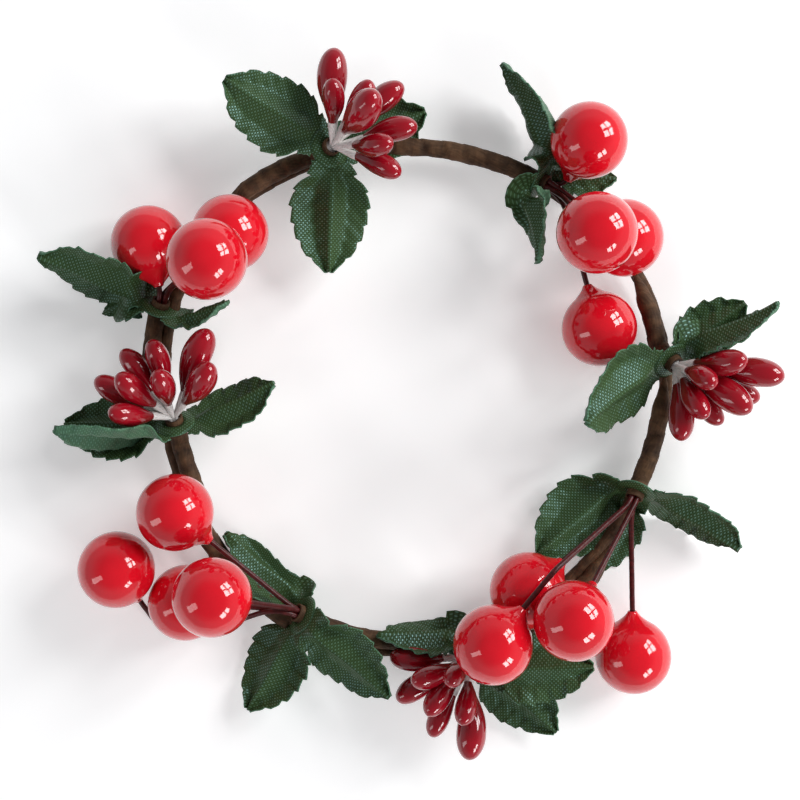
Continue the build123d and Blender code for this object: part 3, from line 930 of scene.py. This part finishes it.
class WREATH_OT_berries(Operator):
    """Lacquered berries and the wires that carry them"""
    bl_idname = "wreath.berries"
    bl_label = "Berries and wires"

    def execute(self, context):
        kit = sizes()
        red = lacquer("berry_lacquer", kit.colours.berry, 0.86, 0.10, 0.0)
        skin = wire_skin("berry_wire_skin", kit.colours.wire)
        for name, places in berry_places.items():
            stem = Stem(sprays[name])
            for index, shares in enumerate(places):
                number = f"{name}_{index + 1}"
                route, way = self.wire(stem, shares, bundle_place(index, len(places)))
                rows, flat = tube_rows(evened(route, wire_spacing), self.skin_radius, wire_sides)
                wire = closed_piece(f"berry_wire_{number}_skin", rows, flat, skin)
                adopt(wire, "berry_wire", f"berry_wire_{number}")
                rows, flat = self.berry(place_point(shares[-1]), -way)
                berry = closed_piece(f"berry_{number}_lacquered", rows, flat, red)
                adopt(berry, "berry_lacquer", f"berry_{number}")
        return {"FINISHED"}

    def wire(self, stem, shares, offset):
        """Points of a wire from inside its stem to the berry's hole, and its way there."""
        kit = sizes().berry
        route, way = stem.route(kit.wire_hold, *offset), stem.neck_way
        for share in shares:
            target = place_point(share)
            arc, way = aim(route[-1], way, target, kit.turn_share)
            if share is shares[-1]:
                target -= way * (kit.diameter / 2 + kit.nipple - kit.bore_depth)
            route += [*arc, target]
        return route, way

    def skin_radius(self, run, turn, point):
        return sizes().berry.wire / 2 * (1 + lumpy(skin_lumps, point))

    def berry(self, middle, nipple_way):
        """Rings of one ball of lacquer with its nipple and the drip collar round the wire."""
        side = level_side(nipple_way)
        other = nipple_way.cross(side)

        def spot(ring, turn):
            out, along = ring
            point = middle + (side * cos(turn) + other * sin(turn)) * out + nipple_way * along
            return middle + (point - middle) * (1 + lumpy(berry_lumps, point)), (along, out * turn)
        return ring_rows(self.profile(), berry_sides, spot)

    def profile(self):
        """Radius and place along the wire's way of each ring, from the far pole to the hole."""
        kit = sizes().berry
        radius, wire, width = kit.diameter / 2, kit.wire / 2, kit.nipple_width / 2
        turned = [pi * i / ball_rings for i in range(1, ball_rings_used + 1)]
        profile = [(radius * sin(angle), -radius * cos(angle)) for angle in turned]
        (out, along), tip = profile[-1], radius + kit.nipple
        for i in range(1, nipple_rings + 1):
            share = i / nipple_rings
            left = (1 - share) ** nipple_flare
            profile.append((out * left + width * (1 - left), along + (tip - along) * share))
        return profile + [(width * lip_share, tip + lip_height), (wire * dip_share, tip + dip_height),
                          (wire * seat_share, tip - seat_depth)]


class WREATH_OT_leaves(Operator):
    """Whorls of three serrated cloth leaves, threaded on the necks"""
    bl_idname = "wreath.leaves"
    bl_label = "Cloth leaves"

    def execute(self, context):
        kit = sizes()
        colours = kit.colours
        # Each cloth gets its threads' colours in shade and in light: painted shade and painted light on the
        # weave.
        front = leaf_cloth("leaf_cloth_front", colours.leaf_dark, colours.leaf_light,
                           gloss=0.43, sheen=0.95, olive_share=0.5)
        back = leaf_cloth("leaf_cloth_back", shaded(colours.leaf_back, 0.6), colours.leaf_back,
                          gloss=0.50, sheen=0.40, olive_share=0.1)
        for number, (name, places) in enumerate(leaf_places.items()):
            stem = Stem(sprays[name])
            end, left, over = stem.neck()
            axis = stem.neck_way
            hub = end - axis * kit.leaf.hub_setback
            leaves = [self.leaf(hub, axis, place, number * 3 + i) for i, place in enumerate(places)]
            grids = [self.hub(hub, axis, left, over), *leaves]
            piece, area = self.whorl(f"leaf_whorl_{name}_cloth", grids, (back, front))
            adopt(piece, "leaf_cloth", f"leaf_whorl_{name}")
        return {"FINISHED"}

    def edge(self, share):
        """Share of the half width at a share of the length."""
        for (s0, w0), (s1, w1) in zip(leaf_edge_shares, leaf_edge_shares[1:]):
            if share <= s1:
                t = (share - s0) / (s1 - s0)
                return w0 + (w1 - w0) * (eased(t) + t) / 2
        return leaf_edge_shares[-1][1]

    def leaf(self, hub, axis, place, seed):
        """Rows of one leaf, from under the hub to its tip, with its pleats, teeth and twist."""
        kit = sizes().leaf
        angle, rise, roll, curl, size_share = place
        way = heading(angle, rise)
        slope = asin(max(-1, min(1, way.dot(axis))))
        outward = (way - axis * sin(slope)).normalized()
        flat_side = up.cross(way).normalized()
        lean = way.cross(flat_side) * cos(radians(roll)) - flat_side * sin(radians(roll))
        blade_side = lean.cross(way)
        length = kit.length * size_share
        hub_edge = kit.hub_diameter / 2
        teeth = max(fewest_teeth, round(length / kit.tooth_pitch))
        shares = [(tooth + row) / teeth for tooth in range(teeth) for row in tooth_rows]
        steps = self.root(hub, axis, outward, slope)
        root_run = steps[-1][2]
        steps += self.blade(steps[-1][0], way, blade_side, radians(curl), shares, length, root_run)
        rows, flat = [], []
        for index, (point, forward, run) in enumerate(steps):
            twist = (run + hub_edge * twist_start_share) / (root_run + length * twist_end_share)
            twist = eased(min(1.0, max(0.0, twist)))
            start_side = across_way(axis.cross(outward), forward)
            side = self.turned(start_side, across_way(blade_side, forward), forward, twist)
            normal = side.cross(forward)
            blade_index = index - under_rows - root_rows - 1
            share = shares[blade_index] if blade_index >= 0 else 0.0
            half = self.half_width(index, share, teeth, size_share)
            row, places = [], []
            for column in range(-side_columns, side_columns + 1):
                across = column / side_columns
                height = self.relief(run, across, half, share, size_share, teeth, seed)
                spot = point + side * (across * half) + normal * height
                dip = min(0.0, spot.z - kit.thickness)
                spot.z -= dip * (1 + table_lift)
                row.append(spot)
                places.append((run + flat_apart[0] * seed, across * half + flat_apart[1]))
            rows.append(row)
            flat.append(places)
        return rows, flat

    def root(self, hub, axis, outward, slope):
        """Point, way and run of the rows under the hub and round the bend out of it."""
        kit = sizes().leaf
        hub_edge = kit.hub_diameter / 2
        steps = []
        for i in range(under_rows):
            left = under_share * (1 - i / under_rows)
            steps.append((hub + outward * (hub_edge * (1 - left)), outward, -hub_edge * left))
        swing = axis if slope >= 0 else -axis
        centre = hub + outward * hub_edge + swing * kit.root_bend
        for i in range(root_rows + 1):
            turn = abs(slope) * i / root_rows
            point = centre + (outward * sin(turn) - swing * cos(turn)) * kit.root_bend
            steps.append((point, outward * cos(turn) + swing * sin(turn), turn * kit.root_bend))
        return steps

    def blade(self, point, way, side, curl, shares, length, root_run):
        """Point, way and run of the blade's rows, which curl about its side."""
        steps, last = [], 0.0
        for share in shares:
            way = Quaternion(side, -curl * (share - last)) @ way
            point = point + way * ((share - last) * length)
            steps.append((point, way, root_run + share * length))
            last = share
        return steps

    def half_width(self, index, share, teeth, size_share):
        """Half width of a row: narrow at the root, and toothed along the blade."""
        kit = sizes().leaf
        full = kit.width / 2 * size_share
        if index > under_rows + root_rows:
            saw = (share * teeth) % 1.0
            keep = 1.0 if share < tip_share else tip_tooth_share
            return max(self.edge(share) * full - kit.tooth_depth * (1 - saw) * keep, least_half)
        half = kit.root_width / 2 * (narrow_share if index < narrow_rows else 1.0)
        blend = max(0.0, (index - under_rows) / root_rows)
        return half * (1 - blend) + max(half, self.edge(root_edge_share) * full) * blend

    def relief(self, run, across, half, share, size_share, teeth, seed):
        """Height of the cloth off its middle plane: fold, pleats, creases, midrib and ripples."""
        kit = sizes().leaf
        length = kit.length * size_share
        strength = min(1.0, max(0.0, run / (relief_share * length)))
        y, off = across * half, abs(across)
        hand = 1 if y > 0 else -1
        fold = abs(y) * tan(radians(kit.fold))
        vein = (run - abs(y) * vein_slant) / (length / teeth)
        pleat = (abs((vein % 1.0) * 2 - 1) - 0.5) * kit.pleat_depth * min(1.0, off * vein_onset)
        apart = seed * noise_apart
        uneven = 1 + crease_uneven * wobble(Vector((run, crease_sides * hand, apart)), crease_grain)
        peak = peak_share + peak_sway * wobble(Vector((run, apart, peak_sides * hand)), peak_grain)
        beside = off / peak if off < peak else (1 - off) / (1 - peak)
        crease = (beside - 0.5) * 2 * kit.crease * size_share * (1 - crease_fade * share) * uneven
        rib = -rib_depth * max(0.0, 1 - abs(y) / rib_width)
        spot = Vector((run, y, seed * ripple_apart))
        ripple = lumpy(large_ripple, spot, seed) * (ripple_share + off)
        ripple += lumpy(small_ripple, spot, seed + 9) * off
        return (fold + pleat + crease + rib + ripple) * strength

    def turned(self, start, end, axis, share):
        """Side way part of the turn from one to another about an axis."""
        angle = atan2(axis.dot(start.cross(end)), start.dot(end))
        return Quaternion(axis, angle * share) @ start

    def hub(self, hub, axis, left, over):
        """Rings of points of the whorl's hub, which stands up a little round the neck."""
        stem = sizes().stem
        inner = stem.bore / 2 + stem.tape + clearance
        width = sizes().leaf.hub_diameter / 2 - inner

        def spot(share, turn):
            reach = inner + width * share
            point = hub + (left * cos(turn) + over * sin(turn)) * reach
            lift = hub_lift + hole_lift * (1 - share) + lumpy(hub_lumps, point)
            return point + axis * lift, (reach * cos(turn), reach * sin(turn))
        return ring_rows([i / (hub_rows - 1) for i in range(hub_rows)], hub_sides, spot)

    def whorl(self, name, grids, materials):
        """One cloth of a hub and three leaves, given its thickness, and the area it is cut to."""
        points, faces, places = [], [], []
        for index, (rows, flat) in enumerate(grids):
            more_faces, more_places = grid_faces(rows, flat, index == 0, len(points))
            faces += more_faces
            places += more_places
            points += [point for row in rows for point in row]
        area = 0.0
        for corners in places:
            sides = zip(corners, corners[1:] + corners[:1])
            area += abs(sum(a[0] * b[1] - b[0] * a[1] for a, b in sides)) / 2
        piece = new_piece(name, points, faces, places, materials)
        solid = piece.modifiers.new("cloth", "SOLIDIFY")
        solid.thickness = sizes().leaf.thickness
        solid.offset = 0.0
        solid.material_offset = 1
        return piece, area


class WREATH_OT_pips(Operator):
    """Clusters of dipped pips on white paper stems"""
    bl_idname = "wreath.pips"
    bl_label = "Pips and their stems"

    def execute(self, context):
        kit = sizes()
        # The pips get painted shade towards each foot; the berries get none.
        crimson = lacquer("pip_lacquer", kit.colours.pip, 0.28, 0.14, 60.0)
        paper = twisted_paper("twisted_paper", kit.colours.paper)
        for name, places in pip_places.items():
            stem = Stem(sprays[name])
            end, axis = stem.neck()[0], stem.neck_way
            foot_radius = kit.pip.stem_foot / 2
            reach = kit.stem.bore / 2 - clearance - foot_radius
            pips, papers = [], []
            for number, (angle, rise, size_share, length_share) in enumerate(places):
                way = heading(angle, rise)
                aside = way - axis * way.dot(axis)
                foot = end + aside * reach + axis * foot_radius
                base = foot + way * (kit.pip.stem_length * length_share)
                inside = foot - axis * paper_depth - aside * reach * paper_share
                route = evened([inside, foot, base + way * paper_end], paper_spacing)
                papers.append(tube_rows(route, self.paper_radius((base - inside).length), paper_sides))
                pips.append(self.pip(base, way, size_share, number))
            knot = evened([end - axis * knot_depth, end + axis * kit.pip.knot_rise], knot_spacing)
            papers.append(tube_rows(knot, self.knot_radius, knot_sides))
            self.merge(f"pip_stems_{name}_paper", papers, paper, "paper_stem", f"pip_stems_{name}")
            self.merge(f"pips_{name}_dipped", pips, crimson, "pip_lacquer", f"pips_{name}")
        return {"FINISHED"}

    def paper_radius(self, total):
        """Radius of a paper stem that grows from its foot to the pip."""
        foot_radius = sizes().pip.stem_foot / 2

        def radius_at(run, turn, point):
            share = min(1.0, run / total) ** paper_growth
            return foot_radius + (paper_radius - foot_radius) * share + lumpy(paper_lumps, point)
        return radius_at

    def knot_radius(self, run, turn, point):
        """Radius of the bound paper stems that fill a neck."""
        radius = sizes().stem.bore / 2 - clearance
        return radius * (1 - knot_relief + knot_relief * cos(knot_strands * turn))

    def pip(self, base, way, size_share, number):
        """Rings of one drop-shaped pip, slightly bent."""
        kit = sizes().pip
        side = level_side(way)
        length, radius = kit.length * size_share, kit.diameter * size_share / 2
        hand = 1 if number % 2 else -1
        points = []
        for i in range(pip_rings + 1):
            share = 1 - (1 - i / pip_rings) ** pip_crowding
            sway = sin(pi * share) * pip_sway * length * hand
            points.append(base + way * (share * length) + side * sway)

        def spot(station, turn):
            point, (forward, across, other) = station
            share = (point - base).dot(way) / length
            width = self.width(share) * radius
            spoke = (across * cos(turn) + other * sin(turn)) * width
            lump = 1 + lumpy(pip_lumps, point + spoke, number)
            return point + spoke * lump, (share * length, width * turn)
        return ring_rows(zip(points, line_frames(points)), pip_sides, spot)

    def width(self, share):
        """Share of the widest radius at a share of the length, rounded at the far end."""
        share = max(0.0, min(1.0, share))
        if share > pip_widest_share:
            past = (share - pip_widest_share) / (1 - pip_widest_share)
            return max(0.0, 1 - past ** pip_round) ** 0.5
        rest = sin(pi / 2 * share / pip_widest_share) ** pip_taper
        return pip_foot_share + (1 - pip_foot_share) * rest

    def merge(self, name, parts, material, slot_name, node):
        """One piece from several closed grids."""
        pieces = [closed_piece(f"{name}_{i}", rows, flat, material) for i, (rows, flat) in enumerate(parts)]
        with bpy.context.temp_override(active_object=pieces[0], selected_editable_objects=pieces):
            bpy.ops.object.join()
        pieces[0].name = name
        adopt(pieces[0], slot_name, node)


class WREATH_OT_stage(Operator):
    """Pale floor, soft lights and the camera over the ring"""
    bl_idname = "wreath.stage"
    bl_label = "Floor, lights and camera"

    def execute(self, context):
        self.floor()
        for window in windows:
            self.window(*window)
        self.sky(context.scene)
        self.camera(context.scene)
        context.scene.view_settings.view_transform = "Standard"
        return {"FINISHED"}

    def floor(self):
        """Pale floor that glows a little for the camera and in reflections, and keeps its shadow."""
        kit = sizes()
        half = kit.stage.floor_size / 2
        mesh = bpy.data.meshes.new("floor")
        corners = [(-half, -half, 0), (half, -half, 0), (half, half, 0), (-half, half, 0)]
        mesh.from_pydata(corners, [], [(0, 1, 2, 3)])
        floor = bpy.data.objects.new("floor", mesh)
        bpy.context.scene.collection.objects.link(floor)
        nodes = Nodes("pale_floor")
        grain = nodes.noise(solid_place(nodes), scale=60, detail=2)
        pale = kit.colours.floor
        nodes.feed(Base_Color=nodes.ramp(grain, [(0.3, shaded(pale, 0.995)), (0.7, pale)]))
        nodes.set(Roughness=0.9, Specular_IOR_Level=0.1)
        path = nodes.add("ShaderNodeLightPath").outputs
        seen = nodes.math("MAXIMUM", path["Is Camera Ray"], path["Is Glossy Ray"])
        seen = nodes.math("MAXIMUM", seen, path["Is Transmission Ray"])
        glow = nodes.add("ShaderNodeEmission")
        glow.inputs["Strength"].default_value = floor_glow
        both = nodes.add("ShaderNodeAddShader")
        mix = nodes.add("ShaderNodeMixShader")
        nodes.link(nodes.shader.outputs[0], both.inputs[0])
        nodes.link(glow.outputs[0], both.inputs[1])
        nodes.link(seen, mix.inputs["Fac"])
        nodes.link(nodes.shader.outputs[0], mix.inputs[1])
        nodes.link(both.outputs[0], mix.inputs[2])
        nodes.link(mix.outputs[0], nodes.tree.nodes["Material Output"].inputs["Surface"])
        mesh.materials.append(nodes.material)

    def sky(self, scene):
        """Pale surroundings, dimmer overhead."""
        world = bpy.data.worlds.new("studio")
        scene.world = world
        world.use_nodes = True
        tree = world.node_tree
        background = tree.nodes["Background"]
        direction = tree.nodes.new("ShaderNodeTexCoord")
        parts = tree.nodes.new("ShaderNodeSeparateXYZ")
        rise = tree.nodes.new("ShaderNodeMapRange")
        rise.interpolation_type = "SMOOTHSTEP"
        tree.links.new(direction.outputs["Generated"], parts.inputs[0])
        tree.links.new(parts.outputs["Z"], rise.inputs["Value"])
        for end, (height, strength) in (("Min", sky_low), ("Max", sky_high)):
            rise.inputs[f"From {end}"].default_value = height
            rise.inputs[f"To {end}"].default_value = strength
        background.inputs["Color"].default_value = sky_colour
        tree.links.new(rise.outputs["Result"], background.inputs["Strength"])

    def camera(self, scene):
        """Camera straight above, as in the photograph."""
        stage = sizes().stage
        data = bpy.data.cameras.new("camera")
        camera = bpy.data.objects.new("camera", data)
        scene.collection.objects.link(camera)
        camera.location = (stage.camera_x, stage.camera_y, stage.camera_height)
        data.sensor_fit = "HORIZONTAL"
        data.angle = 2 * atan2(stage.view_width / 2, stage.camera_height - sizes().ring.height)
        data.clip_start = nearest
        scene.camera = camera

    def window(self, name, place, across, high, width, height, bar, power):
        """Window of several panes, all aimed at the ring."""
        middle = Vector(place)
        facing = (-middle).to_track_quat("-Z", "Y")
        for column in range(across):
            for row in range(high):
                shift_x = (column - (across - 1) / 2) * (width + bar)
                shift_y = (row - (high - 1) / 2) * (height + bar)
                data = bpy.data.lights.new(f"{name}_{column}_{row}", "AREA")
                data.shape = "RECTANGLE"
                data.size = width
                data.size_y = height
                data.energy = power / (across * high)
                lamp = bpy.data.objects.new(data.name, data)
                bpy.context.scene.collection.objects.link(lamp)
                lamp.location = middle + facing @ Vector((shift_x, shift_y, 0))
                lamp.rotation_mode = "QUATERNION"
                lamp.rotation_quaternion = facing


class WREATH_PT_panel(Panel):
    """Lists the steps that build the candle ring"""
    bl_idname = "WREATH_PT_panel"
    bl_label = "Candle Ring"
    bl_space_type = "VIEW_3D"
    bl_region_type = "UI"
    bl_category = "Candle Ring"

    def draw(self, context):
        for operator in operators:
            self.layout.operator(operator.bl_idname)
        kit = context.scene.candle_ring
        for group in (kit.ring, kit.stem, kit.berry, kit.pip, kit.leaf, kit.colours, kit.stage):
            column = self.layout.column(align=True)
            for key in group.__annotations__:
                column.prop(group, key)


groups = (RingSizes, StemSizes, BerrySizes, PipSizes, LeafSizes, WreathColours, StageSizes, CandleRing)
operators = (WREATH_OT_ring, WREATH_OT_stems, WREATH_OT_berries, WREATH_OT_leaves, WREATH_OT_pips,
             WREATH_OT_stage)


def register():
    for item in (*groups, *operators, WREATH_PT_panel):
        bpy.utils.register_class(item)
    bpy.types.Scene.candle_ring = PointerProperty(type=CandleRing)


def unregister():
    del bpy.types.Scene.candle_ring
    for item in reversed((*groups, *operators, WREATH_PT_panel)):
        bpy.utils.unregister_class(item)


def main():
    register()
    bpy.ops.wreath.ring()
    bpy.ops.wreath.stems()
    bpy.ops.wreath.berries()
    bpy.ops.wreath.leaves()
    bpy.ops.wreath.pips()
    bpy.ops.wreath.stage()


if __name__ == "__main__":
    main()
